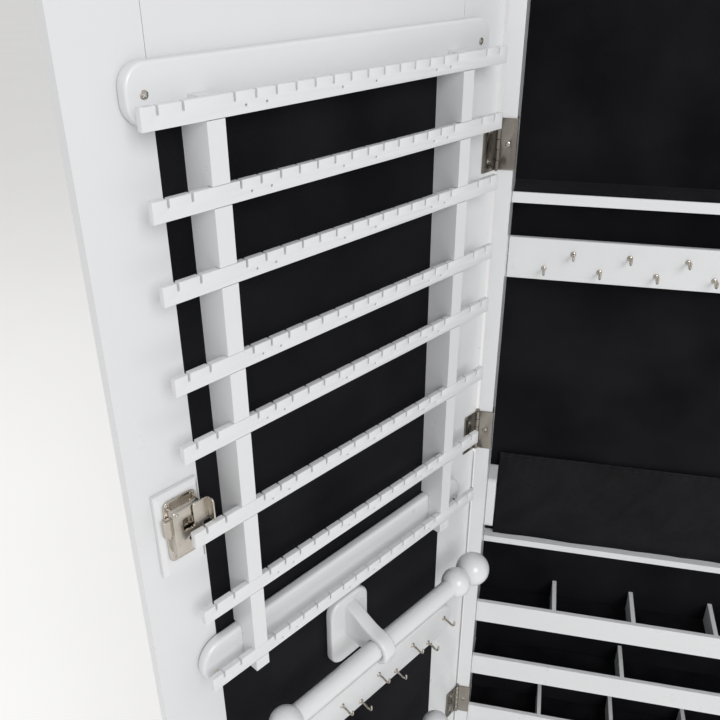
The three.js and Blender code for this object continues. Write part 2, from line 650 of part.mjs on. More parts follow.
// The plate with its raised case. The bolt slides through the case and its stem through the front.
function lockCase() {
  const back = SEAT + LOCK.board + SEAT;
  const range = ({ down, height }) => [LOCK_TOP - down - height, LOCK_TOP - down];
  const around = (width) => [LOCK_U - width / 2, LOCK_U + width / 2];
  const base = plate(roundedOutline(around(PLATE.width), range(PLATE), PLATE.corner), back, PLATE.thick);
  const outline = roundedOutline(around(CASE.width), range(CASE), CASE.corner);
  const shell = plate(outline, back, PLATE.thick + CASE.thick);
  const play = BOLT.play;
  const half = BOLT.height / 2 + play;
  const bed = CASE_BACK + play;
  const passage = around(CASE.width + 2 * PAST);
  const channel = block(passage, [bed, BOLT_FRONT + play], [BOLT_Z - half, BOLT_Z + half]);
  const stem = LOCK_U + STEM.at;
  const slot = [stem - STEM.width / 2 - play, stem + STEM.width / 2 + BOLT.travel + play];
  const slotHalf = STEM.height / 2 + play;
  const window = block(slot, [bed, CASE_BACK + CASE.thick + PAST], [BOLT_Z - slotHalf, BOLT_Z + slotHalf]);
  return cut(join(base, shell), channel, window);
}

// The sliding bolt: a flat bar, the stem that stands through the case and a finger tab on the stem.
function lockBolt() {
  const tip = DOOR_WIDTH - WALL + DOOR_EDGE - BOLT.short;
  const barRange = [BOLT_Z - BOLT.height / 2, BOLT_Z + BOLT.height / 2];
  const slide = block([tip - BOLT.length, tip], [BOLT_BACK, BOLT_FRONT], barRange);
  const stem = LOCK_U + STEM.at;
  const face = CASE_BACK + CASE.thick + 2 * BOLT.play;
  const post = block([stem - STEM.width / 2, stem + STEM.width / 2],
    [BOLT_FRONT - PAST, face + TAB.thick / 2],
    [BOLT_Z - STEM.height / 2, BOLT_Z + STEM.height / 2]);
  const tall = [BOLT_Z + TAB.lift - TAB.height / 2, BOLT_Z + TAB.lift + TAB.height / 2];
  const hingeEdge = stem + STEM.width / 2 - TAB.width;
  const pad = block([hingeEdge, hingeEdge + TAB.width], [face, face + TAB.thick], tall);
  const fin = block([hingeEdge, hingeEdge + TAB.thick], [face, face + TAB.rise], tall);
  return join(slide, post, pad, fin);
}

// The key cylinder: its rim on the door's outer face, its barrel ending inside the block.
function lockCylinder() {
  const { down, radius, flange, flangeThick, edge, slot } = CYLINDER;
  const seat = -FRAME.thick - SEAT;
  const face = seat - flangeThick;
  const z = LOCK_TOP - down;
  const profile = [[0, face], [flange - edge, face], [flange, face + edge], [flange, seat],
    [radius, seat], [radius, LOCK.board], [0, LOCK.board]];
  const points = profile.map(([r, y]) => new THREE.Vector2(r, y));
  const body = new THREE.LatheGeometry(points, FLATS.cylinder).translate(LOCK_U, 0, z);
  const [wide, tall, deep] = slot;
  const across = [LOCK_U - wide / 2, LOCK_U + wide / 2];
  return cut(body, block(across, [face - PAST, face + deep], [z - tall / 2, z + tall / 2]));
}

function addLock() {
  place(door, "lock_block", lockBlock(), white);
  place(door, "lock_case", lockCase(), nickel);
  place(door, "lock_bolt", lockBolt(), nickel);
  place(door, "lock_cylinder", lockCylinder(), nickel);
}

// Assembly ------------------------------------------------------------------------------------------

addStand();
addKnobs();
addCarcass();
addPivotBlocks();
addUpperFittings();
addPouch();
addTrays();
addHinges();
addDoorFrame();
addDoorPanels();
addRack();
addRods();
addDoorHooks();
addLock();

armoire.updateMatrixWorld(true);
const bounds = new THREE.Box3().setFromObject(armoire, true);
armoire.position.set(-(bounds.min.x + bounds.max.x) / 2, -(bounds.min.y + bounds.max.y) / 2, -bounds.min.z);

export default armoire;
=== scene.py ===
"""The looks of a free-standing jewelry armoire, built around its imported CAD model.

Shapes are drawn in millimetres in two frames. CABINET: x from the cabinet's middle, y back from its front
edges, z up from its top. DOOR: x across from the door's hinge edge, y in from its inner face, z up from its
top. Each frame is a matrix that takes millimetres to the row frame's metres.
"""
import json
import math

import bmesh
import bpy
from mathutils import Matrix, Vector


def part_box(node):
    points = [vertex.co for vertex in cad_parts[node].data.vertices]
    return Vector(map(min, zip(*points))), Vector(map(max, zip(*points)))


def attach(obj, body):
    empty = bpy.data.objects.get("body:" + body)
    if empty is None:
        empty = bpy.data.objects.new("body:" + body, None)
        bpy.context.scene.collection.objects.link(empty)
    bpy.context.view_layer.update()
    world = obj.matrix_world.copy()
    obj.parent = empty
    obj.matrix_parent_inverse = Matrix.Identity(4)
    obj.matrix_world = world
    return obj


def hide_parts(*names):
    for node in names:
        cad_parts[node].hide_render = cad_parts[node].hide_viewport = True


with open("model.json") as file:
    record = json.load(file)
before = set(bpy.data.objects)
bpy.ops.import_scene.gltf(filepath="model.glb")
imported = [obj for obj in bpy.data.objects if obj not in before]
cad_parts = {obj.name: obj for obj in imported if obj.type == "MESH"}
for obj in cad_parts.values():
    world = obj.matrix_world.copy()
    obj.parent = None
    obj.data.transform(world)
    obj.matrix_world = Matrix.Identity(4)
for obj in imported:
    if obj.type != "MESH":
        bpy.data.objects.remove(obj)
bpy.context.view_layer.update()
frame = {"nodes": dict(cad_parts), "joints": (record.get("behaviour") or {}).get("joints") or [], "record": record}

# Places and sizes ------------------------------------------------------------------------------------
# A "below" is a distance down from the top, and a "low" or "high" is a z. "ease" rounds a board's edges.

MM = Matrix.Scale(0.001, 4)
SIDE_LOW, SIDE_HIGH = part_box("left_side")
CABINET_MIDDLE = (SIDE_LOW.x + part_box("right_side")[1].x) / 2
INNER_HALF = 154
DOOR_WIDTH = 331
DOOR_MIDDLE = DOOR_WIDTH / 2
DOOR_GAP = 2.4
PIN_TO_DOOR = 1.1
SEAT = 0.3  # the gap left between pieces that touch
EASED_EDGE = 0.7
CREASE = 32  # degrees a smooth surface may turn before it shows an edge

HINGE_JOINT = next(joint for joint in frame["joints"] if joint["name"] == "door_hinge")
PIN_PLACE = Matrix.Translation((HINGE_JOINT["pos_m"][0], HINGE_JOINT["pos_m"][1], SIDE_HIGH.z))
OPEN_ANGLE = math.radians(HINGE_JOINT["range_deg"][1])
CABINET = Matrix.Translation((CABINET_MIDDLE, SIDE_LOW.y, SIDE_HIGH.z)) @ MM
CABINET_PIN = PIN_PLACE @ MM
PIN = PIN_PLACE @ Matrix.Rotation(-OPEN_ANGLE, 4, "Z") @ MM
DOOR = PIN @ Matrix.Translation((PIN_TO_DOOR, -DOOR_GAP / 2, 0))

SCREW = {"radius": 2.3, "deep": 1.2, "slot": 0.3, "slot_reach": 0.62, "slot_deep": 0.6}
HOOK = {"wire": 0.95, "reach": 12.7, "tip": 3.6, "count": 12}

# Earring rack. The slats are placed by their lower edges, and what is along a slat by its middle.
SLAT_BELOW = [115.9, 158.9, 201.7, 253.6, 296.9, 356.9, 418.3, 478.3]
SLAT = {"length": 280, "height": 10.8, "thick": 4, "front": 21.8, "ease": 0.22}
NOTCH = {"count": 14, "pitch": 13.4, "width": 1.5, "deep": 4.6, "outer": [117, 131]}
PIN_HOLE = {"radius": 0.75, "share_up": 0.36, "between": [0.5, 1.5, 5.5, 7.5, 11.5, 12.5]}
RAIL = {"length": 276, "thick": 8, "screw_inset": 9.5}
RAILS = [
    {"name": "top", "below": 88, "height": 30, "corner": 12, "ease": 1.6, "screw_drop": 14.5},
    {"name": "bottom", "below": 455, "height": 36, "corner": 17.7, "ease": 2.6, "screw_drop": 25},
]

# Bangle rods, placed by their axes. Each ball has its distance from the middle and its radius.
ROD_RADIUS = 7.75
ROD_DEPTH = 40
RODS = [{"below": 533, "balls": [(97, 12.8), (120, 14.6)]}, {"below": 699, "balls": [(79, 12.8)]}]
BRACKET = {"half": 20.5, "down": 34, "up": 32, "corner": 12, "thick": 8, "ease": 2.4}
ARM = {"thick": 12, "ease": 2.0, "root": 4, "rise": 25.5, "ring": 13, "under": 6.5, "curl": 198, "fit": 0.2}

# Hook boards, and the heights of their two rows of hooks.
BOARD_THICK = 8
DOOR_HOOKS = {"half": 138, "low": -640, "high": -603.5, "corner": 18, "ease": 2.0, "pitch": 22.8}
DOOR_HOOK_ROWS = (-619, -633.5)
CABINET_HOOKS = {"low": -299, "high": -263, "front": 42, "thick": 5, "ease": 0.8, "pitch": 22.4}
CABINET_HOOK_ROWS = (-288.5, -274.5)

# Hinges, placed by their middles. The pin is (radius, height about the middle).
HINGE_BELOW = [177.5, 427.2, 772.8, 1022.5]
HINGE = {"height": 38, "barrels": 5, "play": 0.12, "radius": 2.2, "round": 0.3, "screw": 0.85, "sink": 0.5}
HINGE_PIN = [(0, -20.2), (0.9, -20), (0.9, 19.6), (1.7, 19.9), (1.7, 20.8), (0, 21.3)]
LEAF = {"thick": 0.8, "ease": 0.15, "corner": 1.0, "start": 0.5, "row": 11}
DOOR_LEAF = {"end": 17.1, "face": -0.2, "screw": 9.5, "hole": 2.1}
FACE_LEAF = {"end": 13.6, "face": 0.2, "screw": 7.2, "hole": 2.1}
FLANGE = {"front": 0.4, "back": 11.2, "screw": 6.6, "hole": 2.0}

# Lock. What has a "from" and "to" or an "at" is placed across from LOCK_X, and a "back" is a y.
LOCK_X = DOOR_WIDTH - 27.75
PLATE = {"half": 11.5, "low": -371, "high": -327, "back": 5.6, "thick": 1.2, "corner": 4}
PLATE_SCREWS = [(-8.4, -329.4), (8.4, -329.4), (-7.6, -367), (7.6, -367)]
CASE = {"half": 10, "low": -363.5, "high": -331, "deep": 7, "shell": 2, "wall": 1.4, "corner": 2}
WINDOW = {"from": -6.55, "to": 3.55, "low": -347.3, "high": -338.7}
KEYHOLE = {"at": -1, "z": -354, "radius": 1.5}
LUG = {"from": 9, "to": 11.4, "low": -352, "high": -338, "deep": 3.4}
RIVET = {"at": 7.4, "z": -333.6, "radius": 1.2, "tall": 0.8, "sunk": 0.2}
BOLT = {"tip": 318, "length": 22, "back": 7.4, "thick": 3.4, "low": -349, "high": -337}
STEM = {"at": -4.5, "half": 1.75, "low": -347, "high": -339, "deep": 5}
TAB = {"low": -345.7, "high": -329.7, "back": 14.4, "reach": 9.75, "width": 11.5, "thick": 1.2,
       "fin": (0.2, 6.6), "corner": 2.2}

# Pouch and linings. The pouch's depth is where its cloth lies flat, and its folds come forward from there.
POUCH = {"half": 145.2, "low": -586.8, "high": -491.5, "depth": 58.0, "cloth": 0.7}
HEM = {"half_tall": 2.0, "half_thick": 0.8, "above": 1.6, "ahead": 0.1, "ripple": 0.15}
TRAY = {"count": 5, "below": 671, "pitch": 77.5, "floor": 4, "bay": 77, "walls": (3, 1), "wall_half": 2.4,
        "front": 19.4}
LINING = {"thick": 0.7, "ease": 0.2, "raised": 0.1, "gap": 1, "back": 61.4, "shelf": -220.3,
          "shelf_front": 26.8, "floor": -1188, "floor_front": 1}
PIVOT = {"z": -530, "block": 8, "screw_y": 36, "screw_offset": 19}

# Mesh helpers ----------------------------------------------------------------------------------------


def mesh_of(curve):
    """The mesh of a curve datablock, as a bmesh with its seams merged."""
    holder = bpy.data.objects.new("outline", curve)
    bpy.context.scene.collection.objects.link(holder)
    bpy.context.view_layer.update()
    evaluated = holder.evaluated_get(bpy.context.evaluated_depsgraph_get())
    mesh = bpy.data.meshes.new_from_object(evaluated)
    shape = bmesh.new()
    shape.from_mesh(mesh)
    bmesh.ops.remove_doubles(shape, verts=shape.verts, dist=0.001)
    bmesh.ops.recalc_face_normals(shape, faces=shape.faces)
    bpy.data.objects.remove(holder)
    bpy.data.curves.remove(curve)
    bpy.data.meshes.remove(mesh)
    return shape


def slab(loops, thick, ease=0.5, rounding=2):
    """A flat piece: outlines in x and y, the first outside and the rest holes, from z = 0 up to thick."""
    curve = bpy.data.curves.new("outline", "CURVE")
    curve.dimensions = "2D"
    curve.fill_mode = "BOTH"
    curve.extrude = thick / 2 - ease
    curve.bevel_depth = ease
    curve.bevel_resolution = rounding
    curve.offset = -ease
    for loop in loops:
        spline = curve.splines.new("POLY")
        spline.points.add(len(loop) - 1)
        for point, (x, y) in zip(spline.points, loop):
            point.co = (x, y, 0, 1)
        spline.use_cyclic_u = True
    shape = mesh_of(curve)
    bmesh.ops.translate(shape, verts=shape.verts, vec=(0, 0, thick / 2))
    return shape


def tube(points, radius, sides=3):
    """A round wire along a smooth path."""
    curve = bpy.data.curves.new("wire", "CURVE")
    curve.dimensions = "3D"
    curve.bevel_depth = radius
    curve.bevel_resolution = sides
    curve.use_fill_caps = True
    curve.resolution_u = 6
    spline = curve.splines.new("BEZIER")
    spline.bezier_points.add(len(points) - 1)
    for point, place in zip(spline.bezier_points, points):
        point.co = place
        point.handle_left_type = "AUTO"
        point.handle_right_type = "AUTO"
    return mesh_of(curve)


def turned(profile, segments=40):
    """A solid of revolution about z from (radius, z) points; a radius of 0 closes an end."""
    shape = bmesh.new()
    rings = []
    for radius, z in profile:
        if radius == 0:
            rings.append([shape.verts.new((0, 0, z))] * segments)
            continue
        steps = [2 * math.pi * i / segments for i in range(segments)]
        rings.append([shape.verts.new((radius * math.cos(a), radius * math.sin(a), z)) for a in steps])
    for low, high in zip(rings, rings[1:]):
        for i in range(segments):
            j = (i + 1) % segments
            corners = list(dict.fromkeys([low[i], low[j], high[j], high[i]]))
            if len(corners) > 2:
                shape.faces.new(corners)
    bmesh.ops.recalc_face_normals(shape, faces=shape.faces)
    return shape


def merged(*shapes):
    """Several shapes as one."""
    whole = bmesh.new()
    for shape in shapes:
        part = bpy.data.meshes.new("part")
        shape.to_mesh(part)
        whole.from_mesh(part)
        shape.free()
        bpy.data.meshes.remove(part)
    return whole


def moved(shape, matrix):
    bmesh.ops.transform(shape, matrix=matrix, verts=shape.verts)
    return shape


def facing(shape, y, thick):
    """A slab drawn in x and z, lying between y and y + thick."""
    return moved(shape, Matrix.Translation((0, y + thick, 0)) @ Matrix.Rotation(math.pi / 2, 4, "X"))


def sideways(shape, x):
    """A slab drawn in y and z, from x onwards."""
    turn = Matrix(((0, 0, 1, x), (1, 0, 0, 0), (0, 1, 0, 0), (0, 0, 0, 1)))
    return moved(shape, turn)


def rounded(x0, x1, y0, y1, radius, steps=6):
    """The outline of a rectangle with round corners."""
    corners = [(x1 - radius, y0 + radius, -90), (x1 - radius, y1 - radius, 0),
               (x0 + radius, y1 - radius, 90), (x0 + radius, y0 + radius, 180)]
    points = []
    for cx, cy, start in corners:
        for i in range(steps + 1):
            angle = math.radians(start + 90 * i / steps)
            points.append((cx + radius * math.cos(angle), cy + radius * math.sin(angle)))
    return points


def circle(x, y, radius, steps=14):
    """A round hole's outline."""
    turn = [2 * math.pi * i / steps for i in range(steps)]
    return [(x + radius * math.cos(a), y - radius * math.sin(a)) for a in turn]


def piece(name, shape, matrix, body, material, replaces=(), angle=CREASE):
    """Makes a shape into a piece of the armoire that rides on a body."""
    bmesh.ops.transform(shape, matrix=matrix, verts=shape.verts)
    mesh = bpy.data.meshes.new(name)
    shape.to_mesh(mesh)
    shape.free()
    thing = bpy.data.objects.new(name, mesh)
    bpy.context.scene.collection.objects.link(thing)
    thing.data.materials.append(material)
    smooth(thing, angle)
    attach(thing, body)
    if replaces:
        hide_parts(*replaces)
    return thing


def smooth(thing, angle):
    """Smooth shading, with an edge kept sharp where its faces turn by more than the angle in degrees."""
    thing.data.polygons.foreach_set("use_smooth", [True] * len(thing.data.polygons))
    thing.data.set_sharp_from_angle(angle=math.radians(angle))


# Materials -------------------------------------------------------------------------------------------


class Finish:
    """A Principled material with helpers for procedural detail in object space."""

    def __init__(self, name, **sockets):
        self.material = bpy.data.materials.new(name)
        self.material.use_nodes = True
        self.nodes = self.material.node_tree.nodes
        self.links = self.material.node_tree.links
        self.shader = self.nodes["Principled BSDF"]
        for socket, value in sockets.items():
            self.shader.inputs[socket.replace("_", " ")].default_value = value
        self.place = self.nodes.new("ShaderNodeTexCoord").outputs["Object"]
        self.normal = None

    def noise(self, scale, detail, stretch=None):
        texture = self.nodes.new("ShaderNodeTexNoise")
        texture.inputs["Scale"].default_value = scale
        texture.inputs["Detail"].default_value = detail
        source = self.place
        if stretch:
            mapping = self.nodes.new("ShaderNodeMapping")
            mapping.inputs["Scale"].default_value = stretch
            self.links.new(source, mapping.inputs["Vector"])
            source = mapping.outputs["Vector"]
        self.links.new(source, texture.inputs["Vector"])
        return texture.outputs["Fac"]

    def ranged(self, value, low, high, start=0.3, end=0.7):
        node = self.nodes.new("ShaderNodeMapRange")
        node.inputs["From Min"].default_value = start
        node.inputs["From Max"].default_value = end
        node.inputs["To Min"].default_value = low
        node.inputs["To Max"].default_value = high
        self.links.new(value, node.inputs["Value"])
        return node.outputs["Result"]

    def tint(self, value, dark, light, start=0.3, end=0.7):
        ramp = self.nodes.new("ShaderNodeValToRGB")
        ramp.color_ramp.elements[0].position = start
        ramp.color_ramp.elements[1].position = end
        ramp.color_ramp.elements[0].color = (*dark, 1)
        ramp.color_ramp.elements[1].color = (*light, 1)
        self.links.new(value, ramp.inputs["Fac"])
        self.links.new(ramp.outputs["Color"], self.shader.inputs["Base Color"])

    def rough(self, value, low, high):
        self.links.new(self.ranged(value, low, high), self.shader.inputs["Roughness"])

    def bump(self, value, strength, distance):
        node = self.nodes.new("ShaderNodeBump")
        node.inputs["Strength"].default_value = strength
        node.inputs["Distance"].default_value = distance
        self.links.new(value, node.inputs["Height"])
        if self.normal:
            self.links.new(self.normal, node.inputs["Normal"])
        self.normal = node.outputs["Normal"]
        self.links.new(self.normal, self.shader.inputs["Normal"])


def white_lacquer():
    finish = Finish("white_lacquer", Coat_Weight=0.3, Coat_Roughness=0.12)
    finish.tint(finish.noise(9, 3), (0.65, 0.655, 0.665), (0.665, 0.67, 0.68))
    finish.rough(finish.noise(35, 4), 0.27, 0.34)
    finish.bump(finish.noise(420, 2), 0.05, 0.0004)
    finish.bump(finish.noise(28, 2), 0.01, 0.001)
    return finish.material


def velvet(name, nap):
    finish = Finish(name, Sheen_Weight=0.05, Sheen_Roughness=0.4, Specular_IOR_Level=0.1)
    finish.shader.inputs["Sheen Tint"].default_value = (0.5, 0.5, 0.55, 1)
    finish.tint(finish.noise(nap, 3), (0.003, 0.003, 0.004), (0.009, 0.009, 0.011))
    finish.rough(finish.noise(600, 2), 0.85, 0.98)
    finish.bump(finish.noise(2600, 2), 0.5, 0.0006)
    finish.bump(finish.noise(nap * 2, 2), 0.15, 0.002)
    return finish.material


def pouch_cloth():
    finish = Finish("black_cloth", Sheen_Weight=0.02, Sheen_Roughness=0.4, Specular_IOR_Level=0.14)
    finish.shader.inputs["Sheen Tint"].default_value = (0.6, 0.6, 0.66, 1)
    finish.tint(finish.noise(30, 3), (0.0025, 0.0025, 0.0035), (0.006, 0.006, 0.0075))
    finish.rough(finish.noise(240, 3), 0.5, 0.7)
    finish.bump(finish.noise(1900, 2, (1, 1, 0.4)), 0.35, 0.0004)
    return finish.material


def nickel(name, shade):
    finish = Finish(name, Metallic=1.0)
    # shade scales the metal's colour; a value well below the plain tone paints shade into the metal
    dark, light = (0.52, 0.47, 0.40), (0.68, 0.64, 0.58)
    finish.tint(finish.noise(60, 3), [shade * c for c in dark], [shade * c for c in light])
    finish.rough(finish.noise(160, 4, (1, 1, 0.12)), 0.13, 0.32)
    finish.bump(finish.noise(900, 2, (1, 1, 0.1)), 0.06, 0.0002)
    return finish.material


def mirror_glass():
    finish = Finish("mirror_glass", Metallic=1.0)
    finish.rough(finish.noise(12, 2), 0.008, 0.022)
    finish.tint(finish.noise(3, 1), (0.905, 0.925, 0.93), (0.93, 0.95, 0.95))
    return finish.material


WHITE = white_lacquer()
VELVET = velvet("black_velvet", 14)
FELT = velvet("black_felt", 40)
CLOTH = pouch_cloth()
NICKEL = nickel("nickel", 0.85)
# The hinges use the same nickel as the lock, scaled down from 0.85 to 0.42: this is painted shade for the dim
# hinge edge between door and cabinet, not a darker metal.
HINGE_NICKEL_PAINTED_SHADE = nickel("hinge_nickel_painted_shade", 0.42)
MIRROR = mirror_glass()
SLOT_FINISH = {"white_lacquer": WHITE, "black_velvet": VELVET, "black_cloth": CLOTH, "nickel": NICKEL,
               "mirror_glass": MIRROR}


def dress_cad_nodes():
    """Every CAD node takes its slot's material; the boards also get eased edges."""
    for entry in frame["record"]["subparts"]:
        node = frame["nodes"][entry["node"]]
        node.data.materials.clear()
        node.data.materials.append(SLOT_FINISH[entry["material_slot"]])
        smooth(node, CREASE)
        if entry["material_slot"] == "white_lacquer":
            bevel = node.modifiers.new("eased_edges", "BEVEL")
            bevel.width = EASED_EDGE * 0.001
            bevel.segments = 2
            bevel.limit_method = "ANGLE"
            bevel.angle_limit = math.radians(40)
            bevel.harden_normals = True


# Screws and hooks ------------------------------------------------------------------------------------


def screw_mesh():
    """A countersunk cross-head screw's head, facing +z, with its rim at z = 0."""
    radius, deep, half = SCREW["radius"], SCREW["deep"], SCREW["slot"]
    head = turned([(0, -deep), (radius * 0.5, -deep), (radius, -0.05), (radius, 0.1),
                   (radius * 0.7, 0.42), (radius * 0.35, 0.52), (0, 0.55)], 24)
    reach = radius * SCREW["slot_reach"]
    bars = []
    for w, v in ((reach, half), (half, reach)):
        bar = slab([[(-w, -v), (w, -v), (w, v), (-w, v)]], 1.6, 0.05, 0)
        bars.append(moved(bar, Matrix.Translation((0, 0, -SCREW["slot_deep"]))))
    shape = cut(head, merged(*bars))
    mesh = bpy.data.meshes.new("screw_head")
    shape.to_mesh(mesh)
    shape.free()
    return mesh


def cut(body, tool):
    """Body minus tool."""
    things = []
    for shape in (body, tool):
        mesh = bpy.data.meshes.new("solid")
        shape.to_mesh(mesh)
        shape.free()
        thing = bpy.data.objects.new("solid", mesh)
        bpy.context.scene.collection.objects.link(thing)
        things.append(thing)
    boolean = things[0].modifiers.new("cut", "BOOLEAN")
    boolean.object = things[1]
    boolean.solver = "EXACT"
    boolean.use_self = True
    bpy.context.view_layer.update()
    evaluated = things[0].evaluated_get(bpy.context.evaluated_depsgraph_get())
    result = bpy.data.meshes.new_from_object(evaluated)
    shape = bmesh.new()
    shape.from_mesh(result)
    for thing in things:
        bpy.data.meshes.remove(thing.data)
    bpy.data.meshes.remove(result)
    return shape


SCREW_MESH = screw_mesh()


def screws(name, spots, matrix, body, size=1.0):
    """One piece of several screw heads. Each spot is (x, y, z, facing axis, its sign, turn in degrees)."""
    heads = []
    for x, y, z, axis, sign, turn in spots:
        lay = {"x": Matrix.Rotation(sign * math.pi / 2, 4, "Y"),
               "y": Matrix.Rotation(-sign * math.pi / 2, 4, "X")}[axis]
        spin = Matrix.Rotation(math.radians(turn), 4, "Z") @ Matrix.Scale(size, 4)
        head = bmesh.new()
        head.from_mesh(SCREW_MESH)
        heads.append(moved(head, Matrix.Translation((x, y, z)) @ lay @ spin))
    return piece(name, merged(*heads), matrix, body, NICKEL)


def hook_shape(x, y, z, side):
    """A wire hook with a rosette at its root, reaching along y by side and turning up."""
    wire, reach, tip = HOOK["wire"], HOOK["reach"], HOOK["tip"]
    path = [(0, -0.5, 0), (0, 5, -0.5), (0, 9.6, -1.6), (0, 12.0, -0.8), (0, reach, 1.4), (0, reach, tip)]
    bead = turned([(0, -wire), (0.7, -0.65), (0.98, 0), (0.7, 0.65), (0, wire)], 12)
    moved(bead, Matrix.Translation((0, reach, tip)))
    rosette = turned([(0, 0), (2.3, 0), (2.3, 0.4), (1.8, 0.9), (1.2, 1.1), (0, 1.2)], 20)
    moved(rosette, Matrix.Rotation(-math.pi / 2, 4, "X"))
    hook = merged(tube(path, wire), bead, rosette)
    if side < 0:
        moved(hook, Matrix.Rotation(math.pi, 4, "Z"))
    return moved(hook, Matrix.Translation((x, y, z)))


def hook_row(prefix, middle, pitch, y, side, rows, matrix, body):
    """Hooks about the middle, their heights taking turns between the two rows."""
    for i in range(HOOK["count"]):
        x = middle + (i - (HOOK["count"] - 1) / 2) * pitch
        hook = hook_shape(x, y, rows[i % 2], side)
        piece(f"{prefix}_{i + 1}", hook, matrix, body, NICKEL, angle=50)


# Earring rack ----------------------------------------------------------------------------------------


def notch_place(index):
    """How far a notch of the even run, or a place between two of them, lies from the slat's middle."""
    return (index - (NOTCH["count"] - 1) / 2) * NOTCH["pitch"]


def slat_outline():
    """A slat from z = 0 up, x from its middle: round-bottomed notches in its top edge."""
    places = [notch_place(i) for i in range(NOTCH["count"])]
    places += [sign * x for x in NOTCH["outer"] for sign in (-1, 1)]
    length, height = SLAT["length"], SLAT["height"]
    reach = NOTCH["width"] / 2
    middle = height - NOTCH["deep"] + reach
    half_circle = [math.pi * i / 4 for i in range(5)]
    points = [(-length / 2, 0), (length / 2, 0), (length / 2, height)]
    for x in sorted(places, reverse=True):
        points.append((x + reach, height))
        points += [(x + reach * math.cos(a), middle - reach * math.sin(a)) for a in half_circle]
        points.append((x - reach, height))
    points.append((-length / 2, height))
    return points


def build_slats():
    up = SLAT["height"] * PIN_HOLE["share_up"]
    holes = [circle(notch_place(i), up, PIN_HOLE["radius"], 10) for i in PIN_HOLE["between"]]
    thick = SLAT["thick"]
    for index, below in enumerate(SLAT_BELOW):
        flat = slab([slat_outline(), *holes], thick, SLAT["ease"])
        slat = facing(flat, SLAT["front"] - thick, thick)
        moved(slat, Matrix.Translation((DOOR_MIDDLE, 0, -below)))
        piece(f"rack_slat_fine_{index + 1}", slat, DOOR, "door", WHITE,
              [f"rack_slat_{index + 1}"])


def build_rails():
    left, right = DOOR_MIDDLE - RAIL["length"] / 2, DOOR_MIDDLE + RAIL["length"] / 2
    front = SEAT + RAIL["thick"]
    for rail in RAILS:
        name, top = rail["name"], -rail["below"]
        outline = rounded(left, right, top - rail["height"], top, rail["corner"], 10)
        board = facing(slab([outline], RAIL["thick"], rail["ease"], 4), SEAT, RAIL["thick"])
        piece(f"rack_{name}_rail_fine", board, DOOR, "door", WHITE, [f"rack_{name}_rail"])
        places = ((left + RAIL["screw_inset"], 20), (right - RAIL["screw_inset"], 55))
        spots = [(x, front, top - rail["screw_drop"], "y", 1, turn) for x, turn in places]
        screws(f"rack_{name}_rail_screws", spots, DOOR, "door")


# Bangle rods and their brackets ----------------------------------------------------------------------


def rod_profile(balls):
    """(radius, x) points of a straight rod through round balls, its middle at x = 0."""
    arc = 12
    ordered = [(-at, radius) for at, radius in reversed(balls)] + list(balls)
    profile = []
    for index, (at, radius) in enumerate(ordered):
        neck = math.asin(ROD_RADIUS / radius)
        start = 0 if index == 0 else neck
        end = math.pi if index == len(ordered) - 1 else math.pi - neck
        for i in range(arc + 1):
            angle = start + (end - start) * i / arc
            on_axis = angle in (0, math.pi)
            profile.append((0 if on_axis else radius * math.sin(angle), at - radius * math.cos(angle)))
    return profile


def arm_outline(z):
    """The bracket's arm in y and z: it springs from the board and curls round the rod."""
    root, rise, ring = ARM["root"], ARM["rise"], ARM["ring"]
    neck, curl, under = 8, 16, 7
    points = []
    for i in range(neck + 1):
        t = i / neck
        points.append((root + (ROD_DEPTH - root) * t, z + rise - (rise - ring) * (3 * t * t - 2 * t * t * t)))
    for i in range(1, curl + 1):
        angle = math.radians(90 - ARM["curl"] * i / curl)
        points.append((ROD_DEPTH + ring * math.cos(angle), z + ring * math.sin(angle)))
    y, low = points[-1]
    for i in range(1, under + 1):
        t = i / under
        points.append((y + (root - y) * t, low + (z - ARM["under"] - low) * (1 - (1 - t) ** 2)))
    return points


def build_rods():
    half, thick = BRACKET["half"], BRACKET["thick"]
    for index, rod in enumerate(RODS):
        number, z = index + 1, -rod["below"]
        bar = moved(turned(rod_profile(rod["balls"]), 48), Matrix.Rotation(math.pi / 2, 4, "Y"))
        moved(bar, Matrix.Translation((DOOR_MIDDLE, ROD_DEPTH, z)))
        piece(f"bangle_rod_fine_{number}", bar, DOOR, "door", WHITE,
              [f"bangle_rod_{number}"], 40)
        outline = rounded(DOOR_MIDDLE - half, DOOR_MIDDLE + half, z - BRACKET["down"], z + BRACKET["up"],
                          BRACKET["corner"], 8)
        board = facing(slab([outline], thick, BRACKET["ease"], 4), SEAT, thick)
        piece(f"rod_bracket_board_{number}", board, DOOR, "door", WHITE,
              [f"rod_bracket_{number}"])
        hole = circle(ROD_DEPTH, z, ROD_RADIUS + ARM["fit"], 24)
        arm = slab([arm_outline(z), hole], ARM["thick"], ARM["ease"], 3)
        sideways(arm, DOOR_MIDDLE - ARM["thick"] / 2)
        piece(f"rod_bracket_arm_{number}", arm, DOOR, "door", WHITE)


# Hook boards -----------------------------------------------------------------------------------------


def build_door_hook_board():
    hooks = DOOR_HOOKS
    outline = rounded(DOOR_MIDDLE - hooks["half"], DOOR_MIDDLE + hooks["half"], hooks["low"], hooks["high"],
                      hooks["corner"], 12)
    board = facing(slab([outline], BOARD_THICK, hooks["ease"], 4), SEAT, BOARD_THICK)
    piece("door_hook_board_fine", board, DOOR, "door", WHITE, ["door_hook_board"])
    hook_row("door_hook", DOOR_MIDDLE, hooks["pitch"], SEAT + BOARD_THICK, 1, DOOR_HOOK_ROWS, DOOR, "door")


